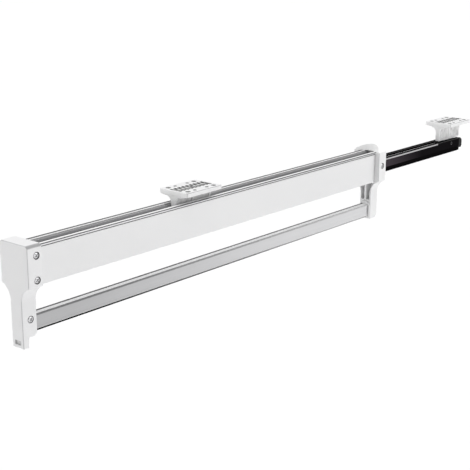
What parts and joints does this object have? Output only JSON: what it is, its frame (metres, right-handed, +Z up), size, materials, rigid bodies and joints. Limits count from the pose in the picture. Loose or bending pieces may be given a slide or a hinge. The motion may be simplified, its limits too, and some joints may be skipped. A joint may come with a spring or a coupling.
{
  "type": "telescopic closet rod",
  "caption": "Top-mounted pull-out wardrobe rail: a hanging rod under a channel carriage that slides on a ball-bearing fixed rail held by T-shaped brackets.",
  "frame": {"origin": "centre of the front bracket's top face, which lies against the underside of the wardrobe's top; the rod hangs below it", "axes": "+Z up, -Y towards the user (the handle end), +Y to the back of the wardrobe, X across the rail"},
  "size_m": [0.034, 0.6835, 0.095],
  "materials": {
    "white_moulding": "fine-grained white moulded plastic",
    "white_cover": "smooth white cover strip, silk gloss",
    "profile_aluminium": "satin anodised, drawn lengthwise",
    "rod_aluminium": "satin anodised, drawn lengthwise",
    "rod_strip": "pale quiet strip set in the rod's top",
    "black_rail": "gloss black coated metal",
    "black_plastic": "black moulded plastic",
    "bearing_steel": "bright bearing steel, lightly oiled",
    "screw_steel": "zinc-plated steel",
    "black_rubber": "soft black rubber"
  },
  "bodies": {
    "fixed_rail_body": {"front_bracket": "white_moulding", "rear_bracket": "white_moulding", "fixed_rail": "black_rail", "front_bracket_screw": "screw_steel", "rear_bracket_screw": "screw_steel", "rail_front_stop": "black_plastic", "rail_end_plug": "black_plastic"},
    "cage_body": {"ball_cage": "bearing_steel", "bearing_balls_near": "bearing_steel", "bearing_balls_far": "bearing_steel"},
    "carriage_body": {"upper_profile": "profile_aluminium", "near_side_cover": "white_cover", "far_side_cover": "white_cover", "front_cap": "white_moulding", "rear_cap": "white_moulding", "hanging_rod": "rod_aluminium", "rod_top_strip": "rod_strip", "rod_end_insert": "white_moulding", "front_cap_screws": "screw_steel", "front_leg_screws": "screw_steel", "rear_cap_screws": "screw_steel", "closing_buffer": "black_rubber"}
  },
  "joints": [
    {"name": "carriage_slide", "type": "slide", "parent": "fixed_rail_body", "child": "carriage_body", "axis": [0, -1, 0], "range_m": [-0.133, 0.163]},
    {"name": "cage_slide", "type": "slide", "parent": "fixed_rail_body", "child": "cage_body", "axis": [0, -1, 0], "range_m": [-0.0665, 0.0815]}
  ],
  "couplings": [
    {"joint": "cage_slide", "follows": "carriage_slide", "ratio": 0.5}
  ]
}
